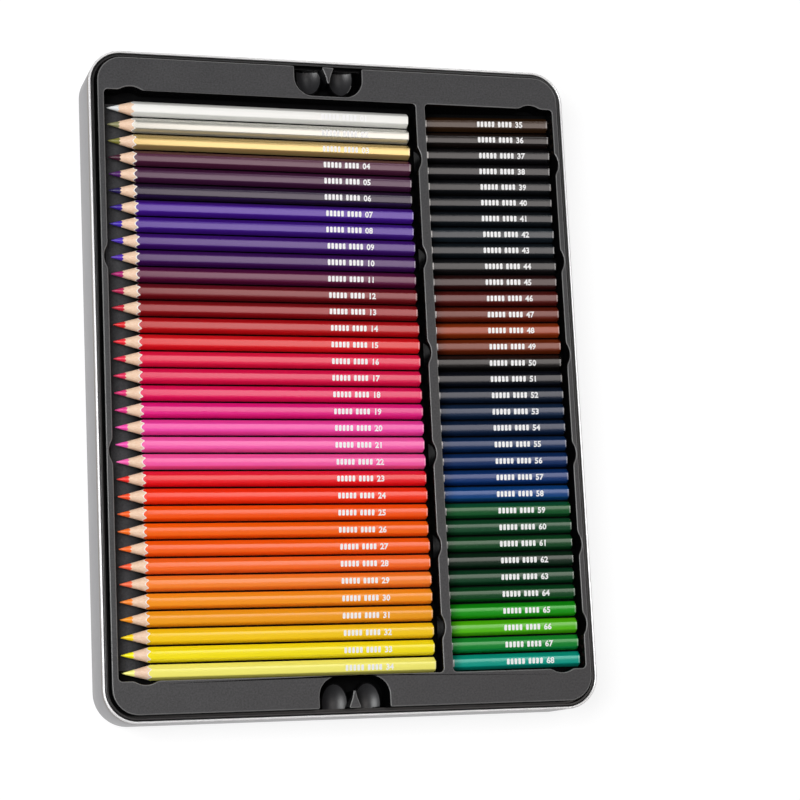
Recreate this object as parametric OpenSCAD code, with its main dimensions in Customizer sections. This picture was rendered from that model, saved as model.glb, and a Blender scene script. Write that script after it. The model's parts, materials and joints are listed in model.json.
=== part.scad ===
// Tin of coloured pencils: a drawn metal base, a black moulded tray and two columns of pencils.
// Frame: X is the tin's width, Y its length, Z up; the origin is at the bottom centre.

/* [Tin] */
// Depth of the tin from its floor to its rim
tin_h = 33; // [27:0.5:45]
// Outside radius of the tin's corners
corner_r = 17; // [12:0.5:24]
// Thickness of the sheet metal
tin_t = 0.8; // [0.4:0.1:1]
// Diameter of the bead rolled round the rim
bead_d = 1.2; // [1.2:0.1:1.8]
// Radius where the tin's side meets its floor
tin_foot_r = 3; // [2:0.5:6]

/* [Tray] */
// Clearance between the tray's lip and the rim's bead
lip_gap = 0.3; // [0.2:0.1:1]
// Width of the lip round the tray
lip_w = 1.3; // [1:0.1:3]
// Width of the groove between the lip and the raised panel
groove_w = 1.2; // [0.8:0.1:3]
// Depth of the groove below the top of the lip
groove_depth = 3.5; // [2:0.5:8]
// Height of the lip below the rim
lip_drop = 0.5; // [0:0.1:2]
// Height of the raised panel above the rim
panel_rise = 2.5; // [1:0.1:5]
// Wall thickness of the moulding
tray_t = 1.2; // [0.8:0.1:1.6]
// Thickness of the left bed's floor
bed_t = 0.8; // [0.6:0.1:1.2]
// Distance from the tin's top end to the beds
top_margin = 21.3; // [20.5:0.1:30]
// Distance from the tin's bottom end to the beds
bottom_margin = 20.3; // [19.5:0.1:30]
// Distance from the tin's left side to the left bed
left_margin = 7.3; // [7.2:0.1:14]
// Distance from the tin's right side to the right bed
right_margin = 7; // [7:0.1:14]
// Width of the divider bar between the beds
divider_w = 5.2; // [4:0.1:8]
// Corner radius of the beds
bed_corner_r = 2; // [1:0.5:4]
// Height of the ridges between pencils
ridge_h = 2; // [1:0.1:2.4]
// Width of a ridge at its foot
ridge_w = 2.4; // [1:0.1:3]
// Depth of the small notches round the beds
notch_depth = 1.9; // [1:0.1:2]
// Length of each small notch
notch_len = 11.5; // [8:0.5:14]
// Depth of the divider bar's notches below the panel
notch_sink = 7; // [4:0.5:9]
// Gap between the foot of the tray's skirt and the tin
seat_gap = 0.1; // [0.05:0.05:0.3]

/* [Pinch grips] */
// Width of a grip pocket at the panel's edge
grip_w = 36; // [30:1:50]
// Depth of a grip pocket below the panel
grip_depth = 14; // [8:0.5:18]
// Width of panel left between a grip pocket and the beds
grip_margin = 1.7; // [1.5:0.1:4]
// Corner radius of a grip pocket
grip_r = 9.5; // [4:0.5:10]
// Distance of the grips' centre from the tin's centre line
grip_x = -2.7; // [-20:0.1:20]
// Width of a grip's finger rib at the panel's edge
rib_w = 6.6; // [4:0.1:10]
// Length of a grip's finger rib
rib_len = 8.6; // [5:0.1:12]

/* [Pencils] */
// Number of pencils in each bed
rows = 34; // [34]
// Distance from one pencil to the next
pitch = 8.588; // [8.2:0.002:10]
// Width of a pencil across its flats
pencil_af = 6.9; // [6:0.1:7.2]
// Diameter over a pencil's rounded edges
edge_d = 7.7; // [7.2:0.1:7.9]
// Length of a left-hand pencil
long_len = 159; // [120:0.5:200]
// Length of a right-hand pencil
short_len = 81.6; // [60:0.1:100]
// Length of the sharpened point
point_len = 14.9; // [12:0.1:20]
// Diameter of the coloured core
core_d = 3.1; // [2:0.1:4]
// Diameter of the blunt tip
tip_d = 0.5; // [0.3:0.1:1]
// Chamfer round a pencil's butt
butt_chamfer = 0.4; // [0.2:0.1:1]
// Clearance of the core in its bore
core_gap = 0.02; // [0.01:0.01:0.05]

/* [Layout] */
// Slack in the length of the beds beyond the pencils
row_slack = 3.4; // [2:0.1:8]
// Gap between the last pencil and the end of the left bed
row_gap = 0.35; // [0.2:0.05:1]
// Distance that the right-hand rows are shifted up the tin
row_shift = 0.9; // [0:0.1:1.5]
// Gap between a left-hand point and the end of its bed
tip_gap = 1.6; // [0.6:0.1:4]
// Gap between a left-hand butt and the divider bar
butt_gap = 3; // [1:0.1:6]
// Gap between a right-hand butt and the end of its bed
short_gap = 1.1; // [1:0.1:4]
// Depth of the left-hand pencils' tops below the panel
sink = 3.5; // [2:0.1:5]
// Distance from the divider bar to the lacquer line of the right-hand points
lacquer_gap = 3.1; // [3:0.1:7]
// Clearance between the right-hand points and the left bed above them
point_gap = 0.7; // [0.3:0.1:2]
// Gap between a pencil and the floor under it
rest_gap = 0.1; // [0.05:0.05:0.3]
// Length of barrel between the sloping bed's edge and the point's lacquer line
rock_len = 2.4; // [1:0.1:6]
// Room under the right-hand points, for tipping the pencils up
dip = 5.8; // [5:0.1:8]

/* [Hidden] */
$fn = 48;
eps = 0.01;

// Lacquer colours, from the top of each bed down
left_colors = [
    "white", "silver", "goldenrod", "indigo", "purple", "darkslateblue", "mediumblue",
    "midnightblue", "blueviolet", "purple", "maroon", "darkred", "darkred", "firebrick",
    "red", "crimson", "crimson", "mediumvioletred", "deeppink", "hotpink", "hotpink", "hotpink",
    "red", "orangered", "darkorange", "darkorange", "darkorange", "orangered", "orange",
    "orange", "peru", "gold", "yellow", "khaki"
];
right_colors = [
    "saddlebrown", "dimgray", "dimgray", "dimgray", "dimgray", "darkslategray", "darkslategray",
    "darkslategray", "dimgray", "black", "maroon", "brown", "sienna", "sienna", "saddlebrown",
    "black", "midnightblue", "navy", "navy", "darkblue", "darkblue", "darkblue", "mediumblue",
    "mediumblue", "darkgreen", "darkgreen", "darkgreen", "darkgreen", "darkgreen", "darkgreen",
    "green", "limegreen", "green", "teal"
];

// The sharpened point: its cone, where the blunt tip ends it and where the core comes out
cone_slope = edge_d / 2 / point_len;
tip_cut = tip_d / 2 / cone_slope;
core_out = core_d / 2 / cone_slope;

// Insets from the tin's outside to the lip, the groove and the panel
lip_inset = bead_d + lip_gap;
groove_inset = lip_inset + lip_w;
panel_inset = groove_inset + groove_w;

// The skirt stands in the curve of the tin's foot
foot_inner_r = tin_foot_r - tin_t;
foot_run = tin_foot_r - lip_inset;
skirt_z = tin_foot_r - sqrt(foot_inner_r * foot_inner_r - foot_run * foot_run) + seat_gap;

// Heights
panel_z = tin_h + panel_rise;
lip_z = tin_h - lip_drop;
groove_z = lip_z - groove_depth;
long_z = panel_z - sink - pencil_af / 2;
bed_z = long_z - pencil_af / 2 - rest_gap;
roof_z = bed_z - bed_t;
grip_z = panel_z - grip_depth;
grip_run = top_margin - panel_inset - grip_margin;

// The right-hand pencils slope down to the divider, so that their points pass under the left bed
point_under = point_len + tray_t - divider_w - lacquer_gap;
point_drop = long_z - roof_z + point_gap + point_under * cone_slope;
tilt = asin(point_drop / (short_len - point_under));

// Sizes of the beds and of the tin that holds them
bed_len = rows * pitch + row_slack;
left_bed_w = tip_gap + long_len + butt_gap;
short_run = short_len * cos(tilt) + pencil_af / 2 * sin(tilt);
right_bed_w = lacquer_gap - point_len * cos(tilt) + short_run + short_gap;
tin_w = left_margin + left_bed_w + divider_w + right_bed_w + right_margin;
tin_l = top_margin + bed_len + bottom_margin;
bed_y1 = tin_l / 2 - top_margin;
bed_y0 = bed_y1 - bed_len;
left_x0 = left_margin - tin_w / 2;
left_x1 = left_x0 + left_bed_w;
right_x0 = left_x1 + divider_w;
right_x1 = right_x0 + right_bed_w;
tip_x = left_x0 + tip_gap;

// Right-hand pencils: their points, the edge that they rock on and the well under the points
short_tip_x = right_x0 + lacquer_gap - point_len * cos(tilt);
short_tip_z = long_z - short_len * sin(tilt);
rock_x = short_tip_x + (point_len + rock_len) * cos(tilt);
slope_drop = (pencil_af / 2 + rest_gap) / cos(tilt);
well_z = short_tip_z - dip;
well_x0 = short_tip_x - tip_gap;

// Notches round the beds: the middles along Y of the side notches, along X of the end ones
left_notches_y = [61, -36.5];
bar_notches_y = [117.5, 65, 15, -37.5, -84.5, -125.5];
left_end_notch_x = left_x0 + 13.4;
right_end_notch_x = right_x1 - 12.6;
notch_r = (notch_len * notch_len / 4 + notch_depth * notch_depth) / (2 * notch_depth);

function slope_z(x) = short_tip_z + (x - short_tip_x) * tan(tilt) - slope_drop;
function row_y(i) = bed_y0 + row_gap + edge_d / 2 + (rows - 1 - i) * pitch;

// A rectangle with round corners, centred
module round_rect(w, l, r) {
    square([w - 2 * r, l], center = true);
    square([w, l - 2 * r], center = true);
    for (sx = [-1, 1], sy = [-1, 1]) {
        translate([sx * (w / 2 - r), sy * (l / 2 - r)]) circle(r);
    }
}

// The tin's plan, drawn in from the outside by an inset
module tin_plan(inset) {
    round_rect(tin_w - 2 * inset, tin_l - 2 * inset, corner_r - inset);
}

// A ring of the tin's plan between two insets
module plan_ring(outer, inner, z0, z1) {
    translate([0, 0, z0]) linear_extrude(z1 - z0) difference() {
        tin_plan(outer);
        tin_plan(inner);
    }
}

// Carries a profile round the tin: x = 0 is the centre of a corner, y is the height
module round_the_tin() {
    for (k = [0, 1]) rotate([0, 0, 180 * k]) {
        translate([tin_w / 2 - corner_r, tin_l / 2 - corner_r, 0]) {
            rotate_extrude(angle = 90) children();
        }
        translate([corner_r - tin_w / 2, tin_l / 2 - corner_r, 0]) {
            rotate([0, 0, 90]) rotate_extrude(angle = 90) children();
        }
        translate([tin_w / 2 - corner_r, tin_l / 2 - corner_r, 0]) {
            rotate([90, 0, 0]) linear_extrude(tin_l - 2 * corner_r) children();
        }
        translate([corner_r - tin_w / 2, tin_l / 2 - corner_r, 0]) {
            rotate([90, 0, 90]) linear_extrude(tin_w - 2 * corner_r) children();
        }
    }
}

// Section of the tin's side: foot, wall and rolled bead
module side_section() {
    intersection() {
        translate([corner_r - tin_foot_r, tin_foot_r]) difference() {
            circle(tin_foot_r);
            circle(tin_foot_r - tin_t);
        }
        translate([corner_r - tin_foot_r, 0]) square(tin_foot_r);
    }
    translate([corner_r - tin_t, tin_foot_r]) square([tin_t, tin_h - bead_d / 2 - tin_foot_r]);
    translate([corner_r - bead_d / 2, tin_h - bead_d / 2]) circle(d = bead_d);
}

module tin_base() {
    color("silver") {
        round_the_tin() side_section();
        linear_extrude(tin_t) tin_plan(tin_foot_r);
    }
}

// A notch's disc, grown by the wall that stands round it
module notch(x, y, dx, dy, grow) {
    away = notch_r - notch_depth;
    translate([x - dx * away, y - dy * away]) circle(notch_r + grow);
}

module bed_rect(x0, x1, grow) {
    translate([(x0 + x1) / 2, (bed_y0 + bed_y1) / 2]) {
        round_rect(x1 - x0 + 2 * grow, bed_len + 2 * grow, bed_corner_r + grow);
    }
}

module left_bed_plan(grow = 0) {
    bed_rect(left_x0, left_x1, grow);
    for (y = left_notches_y) notch(left_x0, y, -1, 0, grow);
    notch(left_end_notch_x, bed_y1, 0, 1, grow);
    notch(left_end_notch_x, bed_y0, 0, -1, grow);
}

module right_bed_plan(grow = 0) {
    bed_rect(right_x0, right_x1, grow);
    for (y = bar_notches_y) notch(right_x1, y, 1, 0, grow);
    notch(right_end_notch_x, bed_y1, 0, 1, grow);
    notch(right_end_notch_x, bed_y0, 0, -1, grow);
}

// The divider bar's notches, which are too shallow to reach the points under the bar
module bar_notches(grow = 0) {
    for (y = bar_notches_y) notch(left_x1, y, 1, 0, grow);
}

// Side view of the right bed: the slope, the well under the points and the room below the divider
module slope_section(grow = 0) {
    under_panel = panel_z - tray_t + eps;
    wall_x = left_x1 + tray_t;
    polygon([
        [well_x0 - grow, well_z - grow], [rock_x + grow, well_z - grow],
        [rock_x + grow, slope_z(rock_x) - grow], [right_x1 + grow, slope_z(right_x1) - grow],
        [right_x1 + grow, under_panel], [wall_x - grow, under_panel],
        [wall_x - grow, roof_z + grow], [well_x0 - grow, roof_z + grow]
    ]);
}

module slope_body(grow = 0) {
    translate([0, bed_y1 + grow, 0]) rotate([90, 0, 0]) {
        linear_extrude(bed_len + 2 * grow) slope_section(grow);
    }
}

// A row of ridges between pencils, over a length along X, standing on z = 0
module ridges(length, shift) {
    foot = 0.4;
    crest_w = 0.6;
    y0 = row_y(rows - 1) + shift;
    corners = [[-ridge_w, 0], [-crest_w, ridge_h], [crest_w, ridge_h], [ridge_w, 0]] / 2;
    rotate([90, 0, 90]) linear_extrude(length) {
        polygon([
            [y0, -foot],
            for (i = [0 : rows - 2], c = corners) [y0 + (i + 0.5) * pitch + c[0], 2 * c[1]],
            [y0 + (rows - 1) * pitch, -foot]
        ]);
    }
}

// Plan of a grip's pocket, with the tin's end wall towards +Y
module grip_plan(grow = 0, out = 0) {
    run = grip_run - grip_r;
    translate([grip_x, tin_l / 2 - panel_inset]) {
        translate([-grip_w / 2 - grow, -run]) square([grip_w + 2 * grow, run + out]);
        translate([grip_r - grip_w / 2, -grip_run - grow]) {
            square([grip_w - 2 * grip_r, grip_run + grow + out]);
        }
        intersection() {
            for (s = [-1, 1]) translate([s * (grip_w / 2 - grip_r), -run]) circle(grip_r + grow);
            translate([-grip_w / 2 - grow, -grip_run - grow]) {
                square([grip_w + 2 * grow, grip_run + grow + out]);
            }
        }
    }
}

// Plan of the rib that is pinched, widest at the panel's edge
module rib_plan() {
    waist = rib_w / 5;
    point = rib_w / 10;
    translate([grip_x, tin_l / 2 - panel_inset]) {
        polygon([
            [-rib_w / 2, 0], [-waist, -rib_len * 0.6], [-point, -rib_len],
            [point, -rib_len], [waist, -rib_len * 0.6], [rib_w / 2, 0]
        ]);
    }
}

// Does the same at both ends of the tin
module both_ends() {
    children();
    mirror([0, 1, 0]) children();
}

// The lip, its skirt down to the tin's floor, the groove and the raised panel
module lip_and_panel() {
    plan_ring(lip_inset, groove_inset, skirt_z, lip_z);
    plan_ring(lip_inset, panel_inset + tray_t, groove_z - tray_t, groove_z);
    plan_ring(panel_inset, panel_inset + tray_t, groove_z - tray_t, panel_z);
    translate([0, 0, panel_z - tray_t]) linear_extrude(tray_t) tin_plan(panel_inset);
}

module bed_walls() {
    top = panel_z - tray_t / 2;
    intersection() {
        union() {
            translate([0, 0, roof_z]) linear_extrude(top - roof_z) left_bed_plan(tray_t);
            translate([0, 0, bed_z - tray_t]) linear_extrude(top - bed_z + tray_t) right_bed_plan(tray_t);
        }
        linear_extrude(panel_z) tin_plan(panel_inset);
    }
    slope_body(tray_t);
}

module bar_notch_walls() {
    height = notch_sink + tray_t / 2;
    translate([0, 0, panel_z - notch_sink - tray_t]) linear_extrude(height) bar_notches(tray_t);
}

module grip_walls() {
    both_ends() translate([0, 0, grip_z - tray_t]) {
        linear_extrude(groove_z - grip_z + tray_t) grip_plan(tray_t, groove_w);
        linear_extrude(grip_depth) intersection() {
            grip_plan(tray_t);
            tin_plan(panel_inset);
        }
    }
}

module bed_hollows() {
    translate([0, 0, bed_z]) linear_extrude(panel_z) {
        left_bed_plan();
        right_bed_plan();
    }
    translate([0, 0, panel_z - notch_sink]) linear_extrude(panel_z) bar_notches();
}

module bed_ridges() {
    point_run = point_len + 4;
    butt_run = 1.5;
    translate([tip_x + point_run, 0, bed_z]) ridges(long_len - point_run, 0);
    translate([rock_x, 0, slope_z(rock_x)]) rotate([0, -tilt, 0]) {
        ridges((right_x1 - rock_x) / cos(tilt) - butt_run, row_shift);
    }
}

module tray() {
    color([0.2, 0.2, 0.21]) union() {
        difference() {
            union() {
                difference() {
                    union() {
                        lip_and_panel();
                        bed_walls();
                        grip_walls();
                    }
                    slope_body();
                }
                bar_notch_walls();
            }
            bed_hollows();
            both_ends() translate([0, 0, grip_z]) linear_extrude(panel_z) grip_plan();
        }
        bed_ridges();
        both_ends() translate([0, 0, grip_z - tray_t / 2]) {
            linear_extrude(grip_depth + tray_t / 2) rib_plan();
        }
    }
}

// Half section of a pencil along its length: x is the radius, and the widest part lies outside
module pencil_half(length) {
    wide = pencil_af;
    butt_r = edge_d / 2 - butt_chamfer;
    polygon([
        [0, tip_cut], [tip_d / 2, tip_cut], [wide, wide / cone_slope],
        [wide, length - wide + butt_r], [butt_r, length], [0, length]
    ]);
}

// A hexagonal bar with rounded edges, sharpened at the origin and chamfered at its butt
module sharpened(length) {
    intersection() {
        rotate([0, 90, 0]) rotate([0, 0, 30]) linear_extrude(length) intersection() {
            circle(d = pencil_af / cos(30), $fn = 6);
            circle(d = edge_d);
        }
        rotate([0, 90, 0]) rotate_extrude() pencil_half(length);
    }
}

module casing(length) {
    bore_d = core_d + 2 * core_gap;
    difference() {
        sharpened(length);
        translate([-eps, 0, 0]) rotate([0, 90, 0]) cylinder(d = bore_d, h = length + 2 * eps);
    }
}

module core(length) {
    rotate([0, 90, 0]) rotate_extrude() {
        polygon([
            [0, tip_cut], [tip_d / 2, tip_cut], [core_d / 2, core_out],
            [core_d / 2, length], [0, length]
        ]);
    }
}

// Puts its children, drawn from the point along X, where the pencil of a row lies
module lay_left(i) {
    translate([tip_x, row_y(i), long_z]) children();
}

module lay_right(i) {
    translate([short_tip_x, row_y(i) + row_shift, short_tip_z]) rotate([0, -tilt, 0]) children();
}

// Casings and cores of a run of rows, counted from the top
module left_casings(first, count) {
    for (i = [first : first + count - 1]) color(left_colors[i]) lay_left(i) casing(long_len);
}

module left_cores(first, count) {
    for (i = [first : first + count - 1]) color(left_colors[i]) lay_left(i) core(long_len);
}

module right_casings(first, count) {
    for (i = [first : first + count - 1]) color(right_colors[i]) lay_right(i) casing(short_len);
}

module right_cores(first, count) {
    for (i = [first : first + count - 1]) color(right_colors[i]) lay_right(i) core(short_len);
}

module metallics_casings() left_casings(0, 3);
module metallics_cores() left_cores(0, 3);
module purples_casings() left_casings(3, 7);
module purples_cores() left_cores(3, 7);
module maroons_casings() left_casings(10, 4);
module maroons_cores() left_cores(10, 4);
module pinks_casings() left_casings(14, 8);
module pinks_cores() left_cores(14, 8);
module oranges_casings() left_casings(22, 7);
module oranges_cores() left_cores(22, 7);
module yellows_casings() left_casings(29, 5);
module yellows_cores() left_cores(29, 5);
module greys_casings() right_casings(0, 10);
module greys_cores() right_cores(0, 10);
module browns_casings() right_casings(10, 5);
module browns_cores() right_cores(10, 5);
module blues_casings() right_casings(15, 9);
module blues_cores() right_cores(15, 9);
module dark_greens_casings() right_casings(24, 6);
module dark_greens_cores() right_cores(24, 6);
module bright_greens_casings() right_casings(30, 4);
module bright_greens_cores() right_cores(30, 4);

tin_base();
tray();
metallics_casings();
metallics_cores();
purples_casings();
purples_cores();
maroons_casings();
maroons_cores();
pinks_casings();
pinks_cores();
oranges_casings();
oranges_cores();
yellows_casings();
yellows_cores();
greys_casings();
greys_cores();
browns_casings();
browns_cores();
blues_casings();
blues_cores();
dark_greens_casings();
dark_greens_cores();
bright_greens_casings();
bright_greens_cores();
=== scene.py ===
import json
import math
import random

import bmesh
import bpy
from mathutils import Matrix, Vector

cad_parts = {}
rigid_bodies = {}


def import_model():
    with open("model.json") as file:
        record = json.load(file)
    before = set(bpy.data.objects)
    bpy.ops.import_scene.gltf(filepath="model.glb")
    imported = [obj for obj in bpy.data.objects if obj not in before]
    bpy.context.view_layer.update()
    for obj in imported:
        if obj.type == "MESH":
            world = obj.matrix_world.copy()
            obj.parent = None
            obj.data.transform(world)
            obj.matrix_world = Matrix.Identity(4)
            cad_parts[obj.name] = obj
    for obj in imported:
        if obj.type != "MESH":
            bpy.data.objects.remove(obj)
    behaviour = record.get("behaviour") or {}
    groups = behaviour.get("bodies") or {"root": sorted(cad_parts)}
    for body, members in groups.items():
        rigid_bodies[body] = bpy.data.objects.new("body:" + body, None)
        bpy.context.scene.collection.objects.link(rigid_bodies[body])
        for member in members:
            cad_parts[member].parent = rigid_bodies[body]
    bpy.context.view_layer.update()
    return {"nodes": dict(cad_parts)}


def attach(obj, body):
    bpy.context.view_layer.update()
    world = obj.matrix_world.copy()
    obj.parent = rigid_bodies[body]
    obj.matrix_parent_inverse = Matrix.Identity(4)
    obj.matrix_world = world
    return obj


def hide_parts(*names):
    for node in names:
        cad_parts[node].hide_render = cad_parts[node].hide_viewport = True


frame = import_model()

mm = 0.001
hair = 1e-6  # closer than this is the same place
slack = 0.01 * mm
mostly = 0.9  # a normal or an edge this far along an axis runs that way


# the few things that selecting by hand would do

def clearSelection():
    for item in bpy.context.selected_objects:
        item.select_set(False)


def takeUp(*pieces):
    clearSelection()
    for piece in pieces:
        piece.select_set(True)
    bpy.context.view_layer.objects.active = pieces[0]


def startEdit(piece):
    takeUp(piece)
    bpy.ops.object.mode_set(mode="EDIT")


def endEdit():
    bpy.ops.object.mode_set(mode="OBJECT")


def pick(piece, kind, wanted):
    bpy.ops.mesh.select_mode(type=kind)
    bpy.ops.mesh.select_all(action="DESELECT")
    shape = bmesh.from_edit_mesh(piece.data)
    shape.normal_update()
    members = {"VERT": shape.verts, "EDGE": shape.edges, "FACE": shape.faces}[kind]
    for member in members:
        if wanted(member):
            member.select_set(True)
    shape.select_flush_mode()
    bmesh.update_edit_mesh(piece.data)


def settle(piece):
    takeUp(piece)
    bpy.ops.object.transform_apply(location=True, rotation=True, scale=True)


def modify(piece, kind, **values):
    takeUp(piece)
    step = piece.modifiers.new(kind.title(), kind)
    for name, value in values.items():
        setattr(step, name, value)
    bpy.ops.object.modifier_apply(modifier=step.name)


def combine(piece, other, operation):
    modify(piece, "BOOLEAN", object=other, operation=operation, solver="EXACT")


def smooth(piece, degrees):
    takeUp(piece)
    bpy.ops.object.shade_smooth_by_angle(angle=math.radians(degrees))


def discard(piece):
    takeUp(piece)
    bpy.ops.object.delete()


def named(piece, name):
    piece.name = name
    piece.data.name = name
    return piece


def newFinish(name):
    finish = bpy.data.materials.new(name)
    finish.use_nodes = True
    tree = finish.node_tree
    shader = tree.nodes["Principled BSDF"]
    return finish, tree, shader


def runsAlong(edge, axis):
    start, end = (getattr(v.co, axis) for v in edge.verts)
    return abs(start - end) > mostly * edge.calc_length()


def addNode(tree, kind, **values):
    node = tree.nodes.new(kind)
    for name, value in values.items():
        if name in node.inputs:
            node.inputs[name].default_value = value
        else:
            setattr(node, name, value)
    return node


def link(source, outlet, target, inlet):
    source.id_data.links.new(source.outputs[outlet], target.inputs[inlet])


def fromHex(text):  # an sRGB color as linear channels
    channels = [int(text[i:i + 2], 16) / 255 for i in (1, 3, 5)]
    return [c / 12.92 if c <= 0.04045 else ((c + 0.055) / 1.055) ** 2.4 for c in channels] + [1]


def addRange(tree, low, high):
    node = addNode(tree, "ShaderNodeMapRange")
    node.inputs["To Min"].default_value = low
    node.inputs["To Max"].default_value = high
    return node


def addRamp(tree, dark, pale, start=0, end=1):
    node = addNode(tree, "ShaderNodeValToRGB")
    ramp = node.color_ramp.elements
    ramp[0].position = start
    ramp[1].position = end
    ramp[0].color = fromHex(dark)
    ramp[1].color = fromHex(pale)
    return node


# camera, floor and lamps

viewSet = {
    "place": (-0.3147, -0.2129, 1.1165),
    "right": (0.9548, -0.0472, 0.2936),
    "up": (-0.0073, 0.9833, 0.1820),
    "back": (-0.2973, -0.1759, 0.9385),
    "lens": 102.1,
    "sensor": 36,
}

cameraData = bpy.data.cameras.new("studio_camera")
cameraData.lens = viewSet["lens"]
cameraData.sensor_width = viewSet["sensor"]
camera = bpy.data.objects.new("studio_camera", cameraData)
bpy.context.scene.collection.objects.link(camera)
turn = Matrix((viewSet["right"], viewSet["up"], viewSet["back"])).transposed().normalized()
camera.matrix_world = Matrix.Translation(viewSet["place"]) @ turn.to_4x4()
bpy.context.scene.camera = camera
bpy.context.scene.view_settings.view_transform = "Standard"

floorSet = {
    "size": 6,
    "color": (0.22, 0.22, 0.223, 1),
    "rough": 0.9,
    "specular": 0.1,
    "lift": 0.84,
}

clearSelection()
bpy.ops.mesh.primitive_plane_add(size=floorSet["size"])
floor = named(bpy.context.object, "studio_floor")
paper, tree, shader = newFinish("studio_paper")
shader.inputs["Base Color"].default_value = floorSet["color"]
shader.inputs["Roughness"].default_value = floorSet["rough"]
shader.inputs["Specular IOR Level"].default_value = floorSet["specular"]
seen = addNode(tree, "ShaderNodeLightPath")
anySeen = addNode(tree, "ShaderNodeMath", operation="MAXIMUM")
allSeen = addNode(tree, "ShaderNodeMath", operation="MAXIMUM")
link(seen, "Is Camera Ray", anySeen, 0)
link(seen, "Is Glossy Ray", anySeen, 1)
link(anySeen, 0, allSeen, 0)
link(seen, "Is Transmission Ray", allSeen, 1)
glow = addNode(tree, "ShaderNodeMath", operation="MULTIPLY")
glow.inputs[1].default_value = floorSet["lift"]
link(allSeen, 0, glow, 0)
shader.inputs["Emission Color"].default_value = (1, 1, 1, 1)
link(glow, 0, shader, "Emission Strength")
floor.data.materials.append(paper)

lampSet = {
    "overhead": {
        "place": (0.53, 0.05, 1.45), "size": (0.66, 0.8), "power": 3.5, "tint": (1, 0.93, 0.9)},
    "key": {
        "place": (-0.85, 0.02, 1.5), "size": (0.8, 0.8), "power": 25, "tint": (1, 1, 1)},
    "far": {
        "place": (0.60, 0.80, 1.45), "size": (0.5, 0.5), "power": 1.8, "tint": (1, 1, 1)},
}
lampAim = (0, 0, 0.03)
airSet = {"color": (1, 1, 1, 1), "strength": 0.08}

for name, lamp in lampSet.items():
    lampData = bpy.data.lights.new(name + "_softbox", "AREA")
    lampData.shape = "RECTANGLE"
    lampData.size, lampData.size_y = lamp["size"]
    lampData.energy = lamp["power"]
    lampData.color = lamp["tint"]
    softbox = bpy.data.objects.new(name + "_softbox", lampData)
    bpy.context.scene.collection.objects.link(softbox)
    aim = (Vector(lampAim) - Vector(lamp["place"])).to_track_quat("-Z", "Y")
    softbox.matrix_world = Matrix.Translation(lamp["place"]) @ aim.to_matrix().to_4x4()

world = bpy.data.worlds.new("studio_air")
bpy.context.scene.world = world
world.use_nodes = True
air = world.node_tree.nodes["Background"]
air.inputs["Color"].default_value = airSet["color"]
air.inputs["Strength"].default_value = airSet["strength"]
print("camera, floor and lamps are up")


# finishes, with the numbers that all of a kind share

plasticSet = {"cloudShare": 0.2, "grainShare": 0.9, "ramp": (0.35, 0.75), "wear": (-0.05, 0.07)}
lacquerSet = {"shade": (0.94, 1.06), "wear": 0.03, "coatRough": 0.12}
woodSet = {"ramp": (0.3, 0.7), "rough": 0.62}
pigmentSet = {"shade": (0.86, 1.28), "rough": 0.42}
chalkyRough = 0.55


def makeTinplate(name, dark, pale, smoothest, roughest, metallic):
    finish, tree, shader = newFinish(name)
    place = addNode(tree, "ShaderNodeTexCoord")
    mottle = addNode(tree, "ShaderNodeTexNoise", Scale=90, Detail=4, Roughness=0.6)
    tone = addRamp(tree, dark, pale)
    grain = addNode(tree, "ShaderNodeTexNoise", Scale=2600, Detail=2)
    relief = addNode(tree, "ShaderNodeBump", Strength=0.08, Distance=0.0002)
    wear = addRange(tree, smoothest, roughest)
    link(place, "Object", mottle, "Vector")
    link(place, "Object", grain, "Vector")
    link(mottle, "Fac", tone, "Fac")
    link(mottle, "Fac", wear, "Value")
    link(tone, "Color", shader, "Base Color")
    link(wear, "Result", shader, "Roughness")
    link(grain, "Fac", relief, "Height")
    link(relief, "Normal", shader, "Normal")
    shader.inputs["Metallic"].default_value = metallic
    return finish


def makePlastic(name, dark, pale, rough, grainSize, grainDepth, specular=0.5):
    finish, tree, shader = newFinish(name)
    place = addNode(tree, "ShaderNodeTexCoord")
    cloud = addNode(tree, "ShaderNodeTexNoise", Scale=60, Detail=5, Roughness=0.6)
    faint = addNode(tree, "ShaderNodeMath", operation="MULTIPLY")
    faint.inputs[1].default_value = plasticSet["cloudShare"]
    grain = addNode(tree, "ShaderNodeTexNoise", Scale=grainSize, Detail=3, Roughness=0.7)
    blendTone = addNode(tree, "ShaderNodeMath", operation="MULTIPLY_ADD")
    blendTone.inputs[1].default_value = plasticSet["grainShare"]
    tone = addRamp(tree, dark, pale, *plasticSet["ramp"])
    wear = addRange(tree, *[rough + change for change in plasticSet["wear"]])
    relief = addNode(tree, "ShaderNodeBump", Strength=0.35, Distance=grainDepth)
    link(place, "Object", cloud, "Vector")
    link(place, "Object", grain, "Vector")
    link(grain, "Fac", blendTone, 0)
    link(cloud, "Fac", faint, 0)
    link(faint, 0, blendTone, 2)
    link(blendTone, 0, tone, "Fac")
    link(tone, "Color", shader, "Base Color")
    link(cloud, "Fac", wear, "Value")
    link(wear, "Result", shader, "Roughness")
    link(grain, "Fac", relief, "Height")
    link(relief, "Normal", shader, "Normal")
    shader.inputs["Specular IOR Level"].default_value = specular
    return finish


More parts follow.
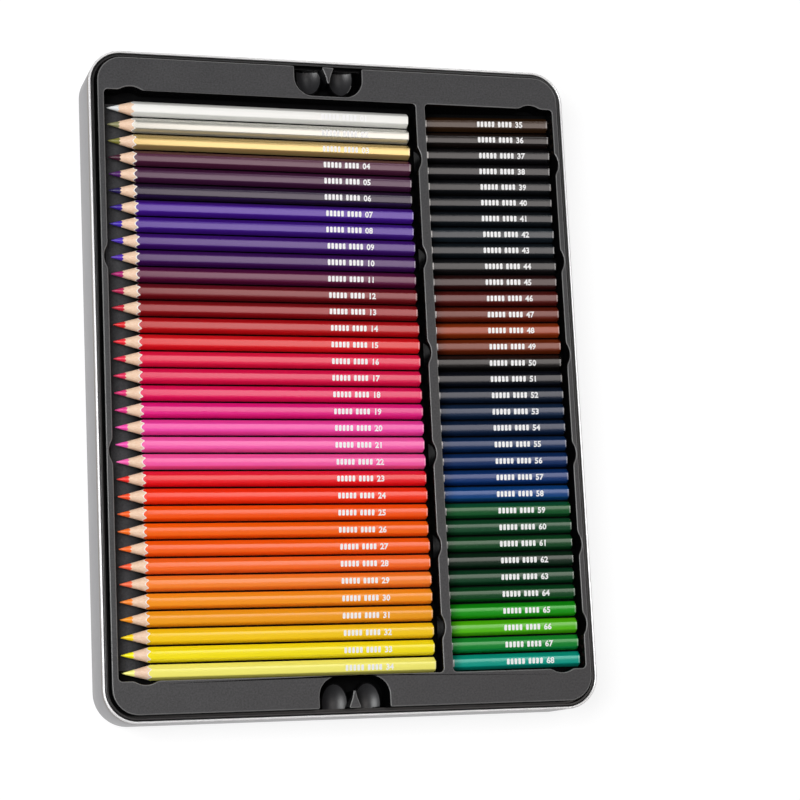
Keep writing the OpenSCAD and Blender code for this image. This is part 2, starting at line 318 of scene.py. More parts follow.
def makeLacquer(name, metallic, rough):
    finish, tree, shader = newFinish(name)
    place = addNode(tree, "ShaderNodeTexCoord")
    stretch = addNode(tree, "ShaderNodeMapping", Scale=(0.04, 1, 1))
    paint = addNode(tree, "ShaderNodeAttribute", attribute_name="paint")
    peel = addNode(tree, "ShaderNodeTexNoise", Scale=1300, Detail=3, Roughness=0.6)
    shade = addRange(tree, *lacquerSet["shade"])
    dyed = addNode(tree, "ShaderNodeVectorMath", operation="SCALE")
    wear = addRange(tree, rough - lacquerSet["wear"], rough + lacquerSet["wear"])
    relief = addNode(tree, "ShaderNodeBump", Strength=0.02, Distance=0.00005)
    link(place, "Object", stretch, "Vector")
    link(stretch, "Vector", peel, "Vector")
    link(peel, "Fac", shade, "Value")
    link(paint, "Color", dyed, 0)
    link(shade, "Result", dyed, "Scale")
    link(dyed, "Vector", shader, "Base Color")
    link(peel, "Fac", wear, "Value")
    link(wear, "Result", shader, "Roughness")
    link(peel, "Fac", relief, "Height")
    link(relief, "Normal", shader, "Normal")
    shader.inputs["Metallic"].default_value = metallic
    shader.inputs["Coat Weight"].default_value = 1
    shader.inputs["Coat Roughness"].default_value = lacquerSet["coatRough"]
    return finish


def makeWood():
    finish, tree, shader = newFinish("cedar_wood")
    place = addNode(tree, "ShaderNodeTexCoord")
    stretch = addNode(tree, "ShaderNodeMapping", Scale=(0.12, 1, 1))
    fiber = addNode(tree, "ShaderNodeTexNoise", Scale=2200, Detail=4, Roughness=0.65)
    tone = addRamp(tree, "#e6bd9c", "#f8dcc4", *woodSet["ramp"])
    relief = addNode(tree, "ShaderNodeBump", Strength=0.3, Distance=0.0001)
    link(place, "Object", stretch, "Vector")
    link(stretch, "Vector", fiber, "Vector")
    link(fiber, "Fac", tone, "Fac")
    link(tone, "Color", shader, "Base Color")
    link(fiber, "Fac", relief, "Height")
    link(relief, "Normal", shader, "Normal")
    shader.inputs["Roughness"].default_value = woodSet["rough"]
    return finish


def makeChalky(name, low, high):
    finish, tree, shader = newFinish(name)
    place = addNode(tree, "ShaderNodeTexCoord")
    speck = addNode(tree, "ShaderNodeTexNoise", Scale=3000, Detail=3, Roughness=0.6)
    tone = addRamp(tree, low, high)
    link(place, "Object", speck, "Vector")
    link(speck, "Fac", tone, "Fac")
    link(tone, "Color", shader, "Base Color")
    shader.inputs["Roughness"].default_value = chalkyRough
    return finish


def makePigment():
    finish, tree, shader = newFinish("pigment_core")
    place = addNode(tree, "ShaderNodeTexCoord")
    paint = addNode(tree, "ShaderNodeAttribute", attribute_name="paint")
    speck = addNode(tree, "ShaderNodeTexNoise", Scale=2500, Detail=4, Roughness=0.7)
    shade = addRange(tree, *pigmentSet["shade"])
    dyed = addNode(tree, "ShaderNodeVectorMath", operation="SCALE")
    relief = addNode(tree, "ShaderNodeBump", Strength=0.4, Distance=0.0001)
    link(place, "Object", speck, "Vector")
    link(speck, "Fac", shade, "Value")
    link(paint, "Color", dyed, 0)
    link(shade, "Result", dyed, "Scale")
    link(dyed, "Vector", shader, "Base Color")
    link(speck, "Fac", relief, "Height")
    link(relief, "Normal", shader, "Normal")
    shader.inputs["Roughness"].default_value = pigmentSet["rough"]
    return finish


# painted shade: the bed's floor under the points is painted darker towards the pencils, where
# little light comes
bedPaintedShade = {"grayX": -0.1130, "blackX": -0.1050, "least": 0.05}


def paintShadeAlongX(finish, s):
    tree = finish.node_tree
    shader = tree.nodes["Principled BSDF"]
    tone = shader.inputs["Base Color"].links[0].from_socket
    place = addNode(tree, "ShaderNodeTexCoord")
    split = addNode(tree, "ShaderNodeSeparateXYZ")
    fade = addRange(tree, 1, s["least"])
    fade.inputs["From Min"].default_value = s["grayX"]
    fade.inputs["From Max"].default_value = s["blackX"]
    faded = addNode(tree, "ShaderNodeVectorMath", operation="SCALE")
    link(place, "Object", split, "Vector")
    link(split, "X", fade, "Value")
    tree.links.new(tone, faded.inputs[0])
    link(fade, "Result", faded, "Scale")
    link(faded, "Vector", shader, "Base Color")


tinplate = makeTinplate("tinplate", "#8e8d8f", "#9e9d9f", 0.30, 0.46, 0.85)
# painted highlight: the bead's near-white steel stands in for the light the rolled rim catches
rimHighlightSteel = makeTinplate("rim_painted_highlight_steel", "#eeeeef", "#f8f8f8", 0.28, 0.36, 0.35)
# painted shade: a warmer, darker steel tone in the pressed crease below the rim
creaseShadeSteel = makeTinplate("crease_painted_shade_steel", "#8d867e", "#9f9991", 0.34, 0.48, 0.8)
# painted shade: a darker bluish steel on the rounded foot
footShadeSteel = makeTinplate("foot_painted_shade_steel", "#5c5c66", "#6e6e78", 0.34, 0.48, 0.8)
trayPlastics = {
    "wall": makePlastic("wall_plastic", "#030304", "#09090a", 0.20, 900, 0.00002, 0.3),
    "panel": makePlastic("panel_plastic", "#222224", "#424244", 0.42, 1100, 0.0002),
    # painted highlight: a paler plastic on the panel's rounded edges and on a stretch of each
    # scoop's rim
    "edge": makePlastic("edge_painted_highlight_plastic", "#5e5e5e", "#727272", 0.28, 2400, 0.00004),
    # painted shade: a near-black, barely reflecting plastic on the rim groove, the low floors
    # under and between the pencils, the pocket floors and the scoops' walls
    "groove": makePlastic("groove_painted_shade_plastic", "#020203", "#060607", 0.6, 900, 0.00002, 0.05),
    "bed": makePlastic("bed_painted_shade_plastic", "#38383a", "#4c4c4e", 0.6, 1100, 0.0002, 0.05),
    "lip": makePlastic("lip_plastic", "#0a0a0b", "#161618", 0.30, 1100, 0.0001),
    "bowl": makePlastic("bowl_plastic", "#1a1a1c", "#2a2a2c", 0.36, 2400, 0.00004),
}
paintShadeAlongX(trayPlastics["bed"], bedPaintedShade)
lacquer = makeLacquer("gloss_lacquer", 0, 0.26)
deepLacquer = makeLacquer("deep_lacquer", 0.2, 0.26)
metalLacquer = makeLacquer("metallic_lacquer", 0.6, 0.18)
wood = makeWood()
primer = makeChalky("white_primer", "#e6e2dc", "#f8f6f2")
printInk = makeChalky("white_print", "#e9e9e9", "#fdfdfd")
pigment = makePigment()
print("finishes are mixed")


# the tin

tinSet = {
    "width": 254.024,
    "length": 336.992,
    "height": 33,
    "corner": 17,
    "cornerSteps": 20,
    "foot": 3,
    "footSteps": 6,
    "footLine": 1.4,
    "wall": 0.8,
    "bead": 1.2,
    "beadSteps": 3,
    "necks": (28.7, 29.9, 31.2),
    "neckDepth": 0.4,
    "smoothTo": 40,
}


def makeTin(s):
    rimZ = (s["height"] - s["bead"] / 2) * mm
    clearSelection()
    bpy.ops.mesh.primitive_cube_add(
        size=1, location=(0, 0, rimZ / 2), scale=(s["width"] * mm, s["length"] * mm, rimZ))
    tin = named(bpy.context.object, "tin_shell")
    settle(tin)
    startEdit(tin)
    pick(tin, "EDGE", lambda e: runsAlong(e, "z"))
    bpy.ops.mesh.bevel(offset=s["corner"] * mm, segments=s["cornerSteps"])
    pick(tin, "EDGE", lambda e: max(v.co.z for v in e.verts) < hair)
    bpy.ops.mesh.bevel(offset=s["foot"] * mm, segments=s["footSteps"])
    pick(tin, "FACE", lambda f: f.normal.z > mostly)
    bpy.ops.mesh.inset(thickness=s["bead"] / 2 * mm)
    bpy.ops.mesh.separate(type="SELECTED")
    pick(tin, "FACE", lambda f: f.normal.z > mostly)
    bpy.ops.mesh.delete(type="FACE")
    for z in s["necks"]:  # the pressed line below the rim
        bpy.ops.mesh.select_all(action="SELECT")
        bpy.ops.mesh.bisect(plane_co=(0, 0, z * mm), plane_no=(0, 0, 1))
    middle = s["necks"][1] * mm
    pick(tin, "VERT", lambda v: abs(v.co.z - middle) < hair)
    bpy.ops.transform.shrink_fatten(value=-s["neckDepth"] * mm)
    endEdit()
    modify(tin, "SOLIDIFY", thickness=s["wall"] * mm, offset=-1, use_even_offset=True)

    bead = [o for o in bpy.context.scene.objects if o.name.startswith("tin_shell.")][0]
    startEdit(bead)
    bpy.ops.mesh.select_all(action="SELECT")
    bpy.ops.mesh.delete(type="ONLY_FACE")
    endEdit()
    takeUp(bead)
    bpy.ops.object.convert(target="CURVE")
    bead.data.dimensions = "3D"
    bead.data.bevel_depth = s["bead"] / 2 * mm
    bead.data.bevel_resolution = s["beadSteps"]
    bpy.ops.object.convert(target="MESH")
    parts = ("plate", "crease", "foot")
    for piece, finishes in ((tin, (tinplate, creaseShadeSteel, footShadeSteel)), (bead, (rimHighlightSteel,))):
        piece.data.materials.clear()
        for finish in finishes:
            piece.data.materials.append(finish)
    # the foot and the crease get the darker steel tones of painted shade
    for face in tin.data.polygons:
        height = face.center.z / mm
        if height < s["footLine"]:
            face.material_index = parts.index("foot")
        elif s["necks"][0] < height < s["necks"][2]:
            face.material_index = parts.index("crease")
    takeUp(tin, bead)
    bpy.ops.object.join()
    smooth(tin, s["smoothTo"])
    return tin


tin = makeTin(tinSet)
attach(tin, "tin")
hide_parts("tin_base")
print("tin is pressed")


# the tray

traySet = {
    "panelZ": 35.5,
    "lipZ": 32.5,
    "grooveZ": 29,
    "lowZ": 28,  # the beds, the notches and the pockets lie lower than this
    "aboveWellZ": 22.5,
    "pocketZ": 21.5,
    "near": 0.1,
    "corners": {  # the least and the most turn in degrees, and how far it is rounded
        "notchShoulder": (28, 40, 1.3),
        "pocketMouth": (85, 120, 0.9),
        "ribTip": (70, 85, 0.45),
    },
    "cornerSteps": 4,
    "edge": 0.55,
    "edgeSteps": 3,
    "edgeSlope": (0.3, 0.985),
    "panelDepth": 0.3,
    "lipEdge": 0.35,
    "lipSteps": 2,
    "leastCorner": 40,
    "smoothTo": 35,
    "bowlX": (-11.2, 5.8),  # two scoops at each end of the tray
    "bowlY": 158.4,
    "bowlTop": 27.5,
    "bowlRadius": 6.8,
    "dishRadius": 10,
    "dishRise": 7.55,
    "around": 64,
    "bowlEdge": 0.3,
    "bowlEdgeSteps": 3,
    "bowlCorner": 30,
    "glintWide": 0.5,
    "glintDeep": 0.4,
    "dishMargin": 0.2,
    "bowlLong": 1.45,
    "bowlEnd": 165,
    "paintedGlints": ((195, 250), (305, 340)),  # where each scoop's rim gets a painted highlight, in degrees
    "outerX": 119.3,
    "outerY": 163.3,
    "pointsX": (-119.1, -103),  # the bed's floor under the long pencils' points
    "pointsY": 142.5,
}


def isCorner(edge, least, most=180):
    return edge.is_manifold and least < math.degrees(edge.calc_face_angle()) < most


def isLevel(edge, z):
    return all(abs(v.co.z - z * mm) < 2 * hair for v in edge.verts)


def makeTray(s):
    tray = bpy.data.objects.new("moulded_tray", frame["nodes"]["tray"].data.copy())
    bpy.context.scene.collection.objects.link(tray)
    panelZ = s["panelZ"] * mm
    startEdit(tray)
    bpy.ops.mesh.select_all(action="SELECT")
    bpy.ops.mesh.customdata_custom_splitnormals_clear()
    bpy.ops.mesh.remove_doubles(threshold=hair)
    bpy.ops.mesh.dissolve_limited(angle_limit=math.radians(1))

    def upToPanel(edge, least, most):
        ends = sorted(v.co.z for v in edge.verts)
        reaches = ends[1] > panelZ - 2 * hair and ends[0] < (s["grooveZ"] + s["near"]) * mm
        return runsAlong(edge, "z") and reaches and isCorner(edge, least, most)

    for least, most, rounding in s["corners"].values():
        pick(tray, "EDGE", lambda e: upToPanel(e, least, most))
        bpy.ops.mesh.bevel(offset=rounding * mm, segments=s["cornerSteps"])
    pick(tray, "EDGE", lambda e: isLevel(e, s["lipZ"]) and isCorner(e, s["leastCorner"]))
    bpy.ops.mesh.bevel(offset=s["lipEdge"] * mm, segments=s["lipSteps"])
    pick(tray, "EDGE", lambda e: isLevel(e, s["panelZ"]) and isCorner(e, s["leastCorner"]))
    bpy.ops.mesh.bevel(offset=s["edge"] * mm, segments=s["edgeSteps"], clamp_overlap=False)
    lowZ = s["lowZ"] * mm
    cuts = [((x, 0, 0), (1, 0, 0)) for x in s["pointsX"]]
    cuts += [((0, y, 0), (0, 1, 0)) for y in (s["pointsY"], -s["pointsY"])]
    for place, across in cuts:  # the floor under the points gets faces of its own
        pick(tray, "FACE", lambda f: f.normal.z > mostly and f.calc_center_median().z < lowZ)
        bpy.ops.mesh.bisect(plane_co=[c * mm for c in place], plane_no=across)
    endEdit()
    smooth(tray, s["smoothTo"])
    modify(tray, "WEIGHTED_NORMAL", keep_sharp=True, weight=100)
    tray.data.materials.clear()
    parts = ("wall", "panel", "edge", "groove", "bed", "lip")
    for part in parts:
        tray.data.materials.append(trayPlastics[part])
    for face in tray.data.polygons:
        x, y, height = face.center / mm
        faceUp = face.normal.z > mostly
        onPanel = height > s["panelZ"] - s["panelDepth"]
        isLow = height < s["lowZ"]
        underPoints = (s["pointsX"][0] < x < s["pointsX"][1] and abs(y) < s["pointsY"]
                       and height > s["aboveWellZ"])
        inRimGroove = height > s["grooveZ"] - s["near"] and (
            abs(x) > s["outerX"] or abs(y) > s["outerY"])
        # painted shade: the low floors and the rim groove get the near-black groove plastic, and
        # the floor under the points the bed's painted shade
        part = "wall"
        # the panel's rounded edges get the paler plastic as a painted highlight
        if s["edgeSlope"][0] < face.normal.z < s["edgeSlope"][1] and onPanel:
            part = "edge"
        elif faceUp and height > s["lipZ"] - s["lipEdge"]:
            part = "panel" if onPanel else "lip"
        elif faceUp and isLow:
            part = "bed" if underPoints else "groove"
        elif inRimGroove:
            part = "groove"
        face.material_index = parts.index(part)
    return named(tray, "moulded_tray")


def makeBowl(s, x, y, glint):  # a dished round, drawn out and cut off at the tray's edge
    clearSelection()
    bpy.ops.mesh.primitive_cylinder_add(
        vertices=s["around"], radius=s["bowlRadius"] * mm,
        depth=(s["bowlTop"] - s["pocketZ"]) * mm,
        location=(x * mm, y * mm, (s["bowlTop"] + s["pocketZ"]) / 2 * mm))
    bowl = bpy.context.object
    settle(bowl)
    bpy.ops.mesh.primitive_uv_sphere_add(
        segments=s["around"], ring_count=s["around"] // 2, radius=s["dishRadius"] * mm,
        location=(x * mm, y * mm, (s["bowlTop"] + s["dishRise"]) * mm))
    hollow = bpy.context.object
    settle(hollow)
    combine(bowl, hollow, "DIFFERENCE")
    discard(hollow)
    startEdit(bowl)
    pick(bowl, "EDGE", lambda e: isLevel(e, s["bowlTop"]) and isCorner(e, s["bowlCorner"]))
    bpy.ops.mesh.bevel(offset=s["bowlEdge"] * mm, segments=s["bowlEdgeSteps"])
    endEdit()
    smooth(bowl, s["smoothTo"])
    parts = ("groove", "bowl", "edge")
    for part in parts:
        bowl.data.materials.append(trayPlastics[part])
    for face in bowl.data.polygons:
        dx, dy = face.center.x - x * mm, face.center.y - y * mm
        fromMiddle = math.hypot(dx, dy)
        bearing = math.degrees(math.atan2(dy, dx)) % 360
        atRim = fromMiddle > (s["bowlRadius"] - s["glintWide"]) * mm
        # the scoop's walls and rim get near-black painted shade, and the rim within its glint
        # angles a painted highlight
        part = "groove"
        if face.center.z > (s["bowlTop"] - s["glintDeep"]) * mm:
            if atRim and glint[0] < bearing < glint[1]:
                part = "edge"
        elif fromMiddle < (s["bowlRadius"] - s["dishMargin"]) * mm and face.normal.z > 0:
            part = "bowl"
        face.material_index = parts.index(part)
    end = math.copysign(1, y)
    startEdit(bowl)
    bpy.ops.mesh.select_all(action="SELECT")
    bpy.ops.transform.resize(value=(1, s["bowlLong"], 1),
                             center_override=(x * mm, (y - end * s["bowlRadius"]) * mm, 0))
    bpy.ops.mesh.bisect(plane_co=(0, end * s["bowlEnd"] * mm, 0), plane_no=(0, end, 0),
                        use_fill=True, clear_outer=True)
    endEdit()
    return bowl


tray = makeTray(traySet)
bowls = [makeBowl(traySet, x, end * traySet["bowlY"], glint)
         for x, glint in zip(traySet["bowlX"], traySet["paintedGlints"]) for end in (1, -1)]
takeUp(tray, *bowls)
bpy.ops.object.join()
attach(tray, "tray")
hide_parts("tray")
print("tray is formed")


# the pencils

pencilSet = {
    "flats": 6.9,
    "edgeRound": 0.5,
    "edgeSteps": 3,
    "edgeAcross": 7.7,
    "point": 14.9,
    "longLength": 159,
    "shortLength": 81.6,
    "core": 3.1,
    "boreGap": 0.02,
    "tip": 0.5,
    "wide": 6.9,
    "buttRound": 0.3,
    "buttSteps": 3,
    "buttFrom": 100,  # everything past this moves with the butt
    "paint": 0.13,
    # the strips at the butt and, on short pencils, at the coat's start are painted highlights
    # across the top flat
    "band": 0.8,
    "buttHighlight": 0.2,
    "startHighlight": 0.75,
    "smear": 6.8,
    "smearWave": 0.3,
    "smearWaves": 6,
    "boreMargin": 0.1,
    "coneNormal": -0.1,
    "scallopNormal": -0.05,
    "casingSmooth": 12,
    "coreSmooth": 40,
    "coneSteps": 48,
    "coreSteps": 24,
    "past": 5,
    "boreExtra": 20,
    "tipRound": 0.12,
    "tipSteps": 2,
    "tipReach": 1.5,
}
coneSlope = pencilSet["edgeAcross"] / 2 / pencilSet["point"]
casingParts = ("lacquer", "wood", "primer", "pigment")  # the order of its materials
smearSlot = casingParts.index("pigment")


def alongX(piece, middle):
    piece.rotation_euler = (0, math.pi / 2, 0)
    piece.location = (middle * mm, 0, 0)
    settle(piece)


def moveButt(piece, s, distance):
    startEdit(piece)
    pick(piece, "VERT", lambda v: v.co.x > s["buttFrom"] * mm)
    bpy.ops.transform.translate(value=(distance * mm, 0, 0))
    endEdit()


def hexBar(s, flats):
    length = s["longLength"]
    clearSelection()
    bpy.ops.mesh.primitive_cylinder_add(
        vertices=6, radius=flats / math.sqrt(3) * mm, depth=length * mm)
    bar = bpy.context.object
    alongX(bar, length / 2)
    startEdit(bar)
    pick(bar, "EDGE", lambda e: runsAlong(e, "x"))
    bpy.ops.mesh.bevel(offset=s["edgeRound"] * mm, segments=s["edgeSteps"])
    endEdit()
    return bar


def turnedRod(s, radius, steps):
    tipX = s["tip"] / 2 / coneSlope
    wideX = radius / coneSlope
    clearSelection()
    bpy.ops.mesh.primitive_cone_add(
        vertices=steps, radius1=s["tip"] / 2 * mm, radius2=radius * mm, depth=(wideX - tipX) * mm)
    rod = bpy.context.object
    alongX(rod, (wideX + tipX) / 2)
    startEdit(rod)
    pick(rod, "FACE", lambda f: f.normal.x > mostly)
    bpy.ops.mesh.extrude_region_move(
        TRANSFORM_OT_translate={"value": ((s["longLength"] - wideX) * mm, 0, 0)})
    endEdit()
    return rod


def makeCasing(s):
    length = s["longLength"]
    blank = turnedRod(s, s["wide"], s["coneSteps"])
    casing = hexBar(s, s["flats"])
    startEdit(casing)
    pick(casing, "EDGE", lambda e: min(v.co.x for v in e.verts) > length * mm - slack)
    bpy.ops.mesh.bevel(offset=s["buttRound"] * mm, segments=s["buttSteps"])
    endEdit()
    clearSelection()
    bpy.ops.mesh.primitive_cylinder_add(
        vertices=s["coreSteps"], radius=(s["core"] / 2 + s["boreGap"]) * mm,
        depth=(length + s["boreExtra"]) * mm)
    bore = bpy.context.object
    alongX(bore, length / 2)
    moveButt(blank, s, s["past"])
    combine(casing, blank, "INTERSECT")
    combine(casing, bore, "DIFFERENCE")

    # a thinner bar, pushed through it, leaves the coat's edge on the cone and the butt
    timberFlats = s["flats"] - 2 * s["paint"]
    timber = hexBar(s, timberFlats)
    moveButt(timber, s, s["past"])
    timberRadius = max(math.hypot(v.co.y, v.co.z) for v in timber.data.vertices)
    for piece, finishes in ((casing, (lacquer, wood)), (timber, (wood, wood))):
        for finish in finishes:
            piece.data.materials.append(finish)
    for face in timber.data.polygons:
        face.material_index = 1
    takeUp(casing, timber)
    bpy.ops.object.join()
    startEdit(casing)
    pick(casing, "FACE", lambda f: f.material_index == 1)
    bpy.ops.mesh.intersect(mode="SELECT_UNSELECT", separate_mode="NONE", solver="EXACT")
    pick(casing, "FACE", lambda f: f.material_index == 1)
    bpy.ops.mesh.delete(type="FACE")
    bpy.ops.mesh.select_all(action="SELECT")
    bpy.ops.mesh.remove_doubles(threshold=hair)
    endEdit()
    for piece in (blank, bore):
        discard(piece)

    for finish in (primer, pigment):
        casing.data.materials.append(finish)
    startEdit(casing)
    for x in (length - s["band"], s["point"] + s["band"]):
        bpy.ops.mesh.select_all(action="SELECT")
        bpy.ops.mesh.bisect(plane_co=(x * mm, 0, 0), plane_no=(1, 0, 0))
    pointEnd = s["point"] * mm
    pick(casing, "FACE", lambda f: (f.normal.x < s["coneNormal"]
                                    and f.calc_center_median().x < pointEnd))
    bpy.ops.mesh.bisect(plane_co=(s["smear"] * mm, 0, 0), plane_no=(1, 0, 0))
    endEdit()
    for v in casing.data.vertices:  # the core's color runs onto the wood in a wavy line
        onCone = math.hypot(v.co.y, v.co.z) > (s["core"] / 2 + s["boreMargin"]) * mm
        if onCone and abs(v.co.x - s["smear"] * mm) < hair:
            wave = math.cos(s["smearWaves"] * math.atan2(v.co.z, v.co.y))
            v.co *= 1 + s["smearWave"] / s["smear"] * wave
    slant = math.sqrt(3) / 2
    smearEnd = (s["smear"] + s["smearWave"]) * mm + slack
    for face in casing.data.polygons:
        x, y, z = face.center
        across = max(abs(z), abs(z / 2 + y * slant), abs(z / 2 - y * slant))
        pastTimber = across > timberFlats / 2 * mm + slack
        if pastTimber or math.hypot(y, z) > timberRadius + slack:
            if face.normal.x < s["scallopNormal"]:
                face.material_index = casingParts.index("primer")
        else:
            farthest = max(casing.data.vertices[i].co.x for i in face.vertices)
            smeared = farthest < smearEnd and face.normal.x < s["coneNormal"]
            face.material_index = casingParts.index("pigment" if smeared else "wood")
    smooth(casing, s["casingSmooth"])
    return named(casing, "casing_pattern")


def makeCore(s):
    core = turnedRod(s, s["core"] / 2, s["coreSteps"])
    startEdit(core)
    pick(core, "EDGE", lambda e: max(v.co.x for v in e.verts) < s["tipReach"] * mm)
    bpy.ops.mesh.bevel(offset=s["tipRound"] * mm, segments=s["tipSteps"])
    endEdit()
    smooth(core, s["coreSmooth"])
    core.data.materials.append(pigment)
    return named(core, "core_pattern")


def shortened(pattern, s):
    short = pattern.copy()
    short.data = pattern.data.copy()
    bpy.context.scene.collection.objects.link(short)
    moveButt(short, s, s["shortLength"] - s["longLength"])
    return short


longCasing = makeCasing(pencilSet)
longCore = makeCore(pencilSet)
shortCasing = shortened(longCasing, pencilSet)
shortCore = shortened(longCore, pencilSet)
print("one long and one short pencil are made")


# the white print: a run of bars and a plain color number

printSet = {
    "height": 2.9,
    "bar": 1.4,
    "step": 2,
    "groups": (5, 4),
    "space": 1.4,
    "chamfer": 0.35,
    "ink": 0.02,
    "fromButt": {"long": 47.1, "short": 38.5},
    "digits": 4.1,
    "boldness": 0.13,
}


def makeBars(s):
    bars = []
    x = s["bar"] / 2
    for count in s["groups"]:
        for _ in range(count):
            clearSelection()
            bpy.ops.mesh.primitive_cube_add(
                size=1, location=(x * mm, 0, s["ink"] / 2 * mm),
                scale=(s["bar"] * mm, s["height"] * mm, s["ink"] * mm))
            bar = bpy.context.object
            settle(bar)
            startEdit(bar)
            pick(bar, "EDGE", lambda e: runsAlong(e, "z"))
            bpy.ops.mesh.bevel(offset=s["chamfer"] * mm, segments=1)
            endEdit()
            bars.append(bar)
            x += s["step"]
        x += s["space"]
    takeUp(*bars)
    bpy.ops.object.join()
    bars[0].data.materials.append(printInk)
    return named(bars[0], "bars_pattern"), x - s["bar"] / 2


def makeNumber(s, number, x):
    clearSelection()
    bpy.ops.object.text_add(location=(0, 0, 0))
    text = bpy.context.object
    text.data.body = f"{number:02d}"
    text.data.size = s["digits"] * mm
    text.data.resolution_u = 2
    text.data.extrude = s["ink"] / 2 * mm
    text.data.offset = s["boldness"] * mm
    bpy.ops.object.convert(target="MESH")
    text.location = (x * mm, -s["height"] / 2 * mm, s["ink"] / 2 * mm)
    settle(text)
    text.data.materials.append(printInk)
    return text


barsPattern, numberX = makeBars(printSet)


# laying the pencils in the tray

rowSet = {
    "seed": 7,
    "firstNumber": {"long": 1, "short": 35},
    "tipX": -118.112,
    "z": 28.55,
    "topY": 139.4,
    "pitch": 8.588,
    "shortTip": (37.3565, 20.7378),
    "shortShift": 0.9,
    "tilt": 5.4938,
    "roll": 8,
    "wobble": 1.5,
    "slide": 0.25,
    "deepTone": 0.4,
    "cornerRadius": 3.759,
    "cornerTurn": 66.6,
}

# each family's bed, its first row there, and its coats and leads from the top row down
families = {
    "metallics": (
        "long", 0, ["#f2f2ee", "#cecdc4", "#dec07a"], ["#dfe1e2", "#8a8860", "#7e7a34"]),
    "purples": (
        "long", 3,
        ["#54203e", "#481a42", "#281636", "#4c1a98", "#481a90", "#46147a", "#441260"],
        ["#44162c", "#4c1664", "#221656", "#36188c", "#4228ac", "#4a2cb4", "#5028ac"]),
    "maroons": (
        "long", 10,
        ["#601040", "#7a121c", "#941018", "#bc0c16"],
        ["#ac1e70", "#b81e52", "#c82238", "#e02428"]),
    "pinks": (
        "long", 14,
        ["#e0141e", "#e61648", "#e21250", "#e8105c", "#e81884", "#f444a8", "#fa5cae", "#fa58a6"],
        ["#ee2836", "#e82a4a", "#e42c5c", "#e43078", "#ea388e", "#f84cae", "#f852b4", "#fa62b4"]),
    "oranges": (
        "long", 22,
        ["#f01020", "#fc340c", "#fd5604", "#fd6606", "#fd600a", "#fd6c20", "#fd8428"],
        ["#f6342c", "#fc5428", "#fe6420", "#fe7420", "#fe7028", "#fc6038", "#fc6e46"]),
    "yellows": (
        "long", 29,
        ["#fe981a", "#f8a218", "#ffd014", "#ffea14", "#fef676"],
        ["#fe8a2c", "#fe9c1c", "#ffd80c", "#fff20c", "#fcf88c"]),
    "greys": (
        "short", 0,
        ["#3a2412", "#18100e", "#131114", "#151316", "#0e1014", "#0c1016", "#10161c",
         "#1e2830", "#121a20", "#161618"], None),
    "browns": (
        "short", 10, ["#32100e", "#5c1612", "#681e0a", "#98380c", "#742a0a"], None),
    "blues": (
        "short", 15,
        ["#14100f", "#0a0e1a", "#122036", "#122a4a", "#0e2444", "#0a2e5c", "#0c3066",
         "#0a3674", "#084688"], None),
    "dark_greens": (
        "short", 24,
        ["#0e5a2a", "#124c2c", "#0c4a22", "#0a2a18", "#0c4426", "#064a20"], None),
    "bright_greens": (
        "short", 30, ["#14a010", "#54bc08", "#0c9034", "#06a894"], None),
}


def painted(pattern, place, color, highlightBands=(), lead=None):
    piece = pattern.copy()
    piece.data = pattern.data.copy()
    bpy.context.scene.collection.objects.link(piece)
    if color:
        coat = fromHex(color)
        shades = []
        for face in piece.data.polygons:
            shade = coat
            for low, high, pale in highlightBands:  # a painted highlight: a paler strip across the top flat
                if low * mm < face.center.x < high * mm and face.normal.z > mostly:
                    shade = [c + (1 - c) * pale for c in coat]
            if lead and face.material_index == smearSlot:
                shade = fromHex(lead)
            shades += shade * face.loop_total
        paint = piece.data.color_attributes.new("paint", "FLOAT_COLOR", "CORNER")
        paint.data.foreach_set("color", shades)
    piece.data.transform(place)
    return piece


def gather(pieces, name, family, stand):
    takeUp(*pieces)
    bpy.ops.object.join()
    whole = named(pieces[0], name)
    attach(whole, family)
    if stand:
        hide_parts(family + "_" + stand[0])


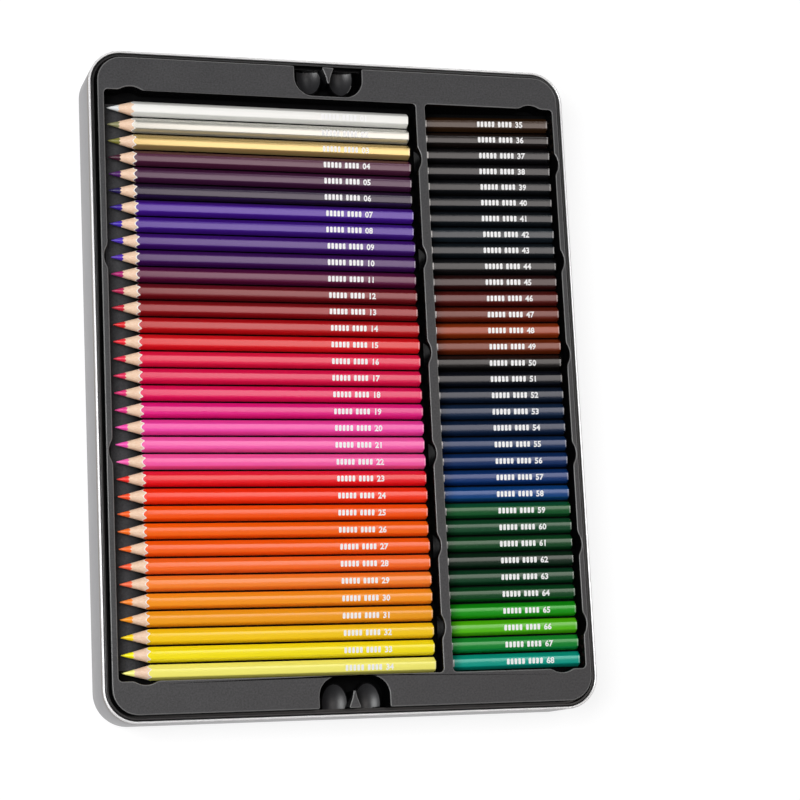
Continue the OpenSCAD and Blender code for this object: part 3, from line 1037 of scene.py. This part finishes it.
random.seed(rowSet["seed"])
for family, (kind, first, coats, leads) in families.items():
    casings, cores, prints = [], [], []
    for step, coat in enumerate(coats):
        row = first + step
        roll = math.radians(rowSet["roll"] + random.uniform(-rowSet["wobble"], rowSet["wobble"]))
        high = rowSet["cornerRadius"] * math.sin(math.radians(rowSet["cornerTurn"]) + abs(roll))
        lift = max(high - pencilSet["flats"] / 2, 0)
        slide = random.uniform(-rowSet["slide"], rowSet["slide"])
        y = rowSet["topY"] - row * rowSet["pitch"]
        if kind == "long":
            tip = Vector((rowSet["tipX"] + slide, y, rowSet["z"] + lift))
            place = Matrix.Translation(tip * mm)
        else:
            x, z = rowSet["shortTip"]
            tip = Vector((x + slide, y + rowSet["shortShift"], z + lift))
            slope = Matrix.Rotation(math.radians(-rowSet["tilt"]), 4, "Y")
            place = Matrix.Translation(tip * mm) @ slope
        place = place @ Matrix.Rotation(roll, 4, "X")
        isMetal = family == "metallics" and step > 0
        isDeep = max(fromHex(coat)[:3]) < rowSet["deepTone"]
        length = pencilSet["longLength"] if kind == "long" else pencilSet["shortLength"]
        # painted highlights across the top flat at the butt and, on short pencils, where the coat
        # starts
        highlightBands = [(length - pencilSet["band"], length, pencilSet["buttHighlight"])]
        if kind == "short":
            highlightBands.append((0, pencilSet["point"] + pencilSet["band"], pencilSet["startHighlight"]))
        lead = leads[step] if leads else coat
        casing = painted(longCasing if kind == "long" else shortCasing, place, coat, highlightBands, lead)
        if isMetal or isDeep:
            casing.data.materials[0] = metalLacquer if isMetal else deepLacquer
        casings.append(casing)
        cores.append(painted(longCore if kind == "long" else shortCore, place, lead))
        onFacet = place @ Matrix.Translation(
            Vector((length - printSet["fromButt"][kind], 0, pencilSet["flats"] / 2)) * mm)
        prints.append(painted(barsPattern, onFacet, None))
        digits = makeNumber(printSet, row + rowSet["firstNumber"][kind], numberX)
        prints.append(digits)
        digits.data.transform(onFacet)
    gather(casings, family + "_pencils", family, ("casings", "lacquer"))
    gather(cores, family + "_leads", family, ("cores", "pigment"))
    gather(prints, family + "_print", family, None)
    print(family, "are laid in")

for pattern in (longCasing, longCore, shortCasing, shortCore, barsPattern):
    discard(pattern)
